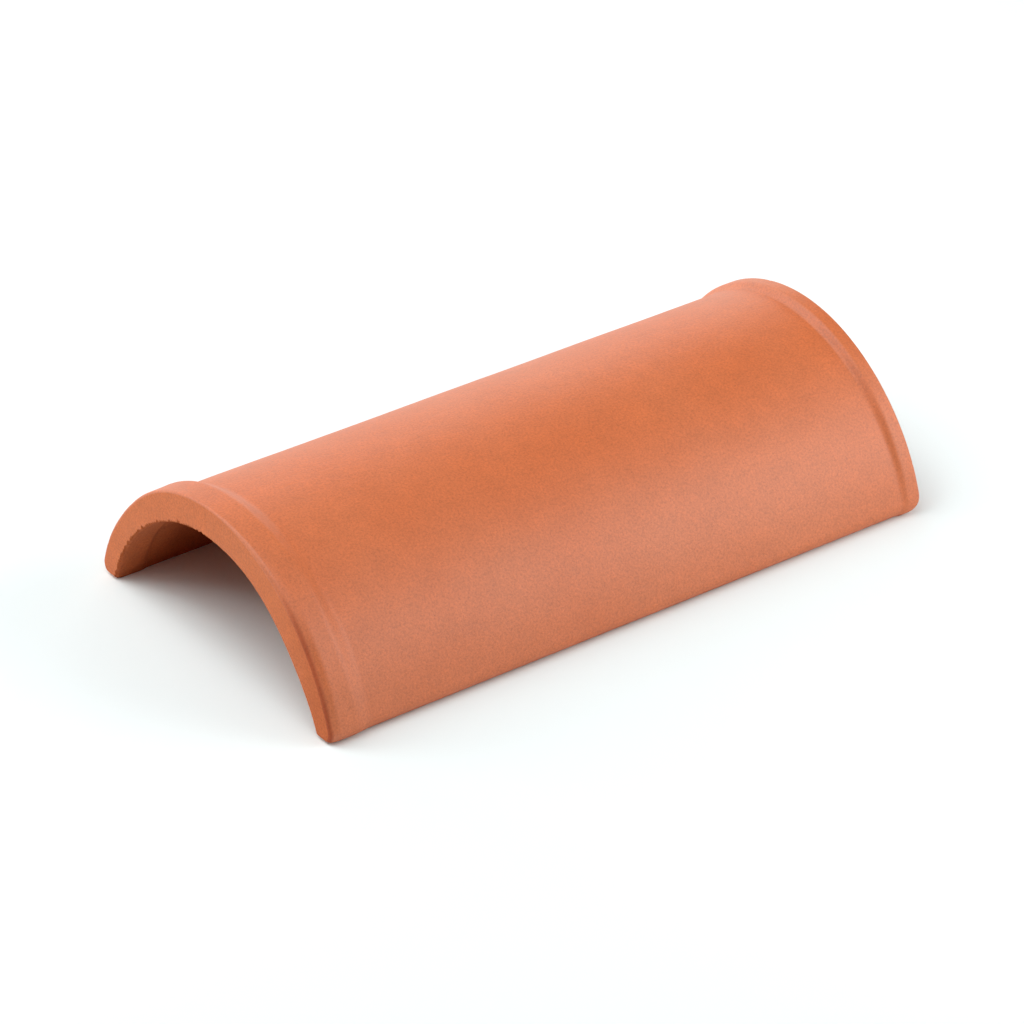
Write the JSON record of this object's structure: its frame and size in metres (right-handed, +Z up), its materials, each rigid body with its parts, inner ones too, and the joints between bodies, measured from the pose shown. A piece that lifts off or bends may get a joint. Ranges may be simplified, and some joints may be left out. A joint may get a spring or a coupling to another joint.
{
  "type": "clay roof tile",
  "caption": "Half-round fired clay roof tile, an open arch on two long feet, with a raised collar round each end.",
  "frame": {"origin": "bottom centre of the tile: on the floor under its two long feet, half way along and half way across", "axes": "+X along the tile towards its narrow end with the slim collar, +Y across it, +Z up through the crown of the arch"},
  "size_m": [0.4, 0.2184, 0.0932],
  "materials": {
    "fired_clay": "matt unglazed"
  },
  "bodies": {
    "root": {"tile_body": "fired_clay"}
  },
  "joints": []
}
